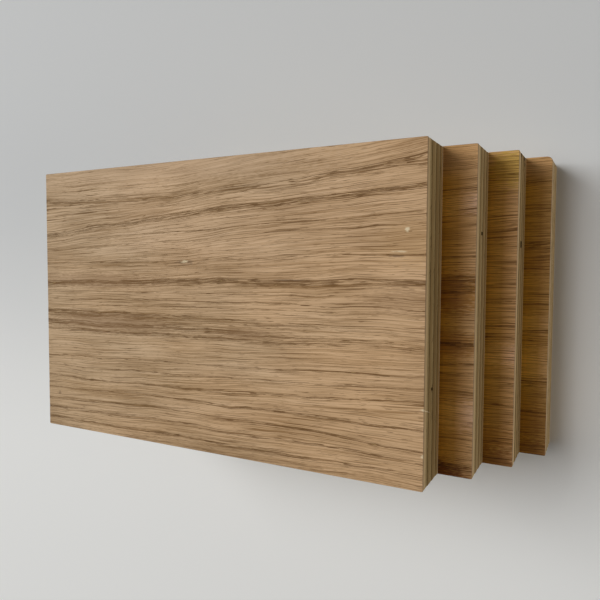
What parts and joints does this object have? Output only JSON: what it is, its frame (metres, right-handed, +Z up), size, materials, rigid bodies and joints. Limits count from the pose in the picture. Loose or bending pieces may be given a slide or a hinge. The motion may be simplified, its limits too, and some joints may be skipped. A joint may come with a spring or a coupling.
{
  "type": "stack of plywood sheets",
  "caption": "Stack of small oak-faced plywood sheets lying flat, face to face, each stepped out at one end past the sheet above so that its laminated edge shows.",
  "frame": {"origin": "on the floor, at the middle of the stack's box", "axes": "+Z up through the sheets; +X along the grain of the faces, towards the end where the lower sheets stand out; +Y across the grain"},
  "size_m": [0.177, 0.1, 0.072],
  "materials": {
    "oak_plywood": "sanded bare oak veneer faces, sawn edges with alternating pale and darker plies"
  },
  "bodies": {
    "root": {"top_sheet": "oak_plywood", "second_sheet": "oak_plywood", "third_sheet": "oak_plywood", "bottom_sheet": "oak_plywood"}
  },
  "joints": []
}
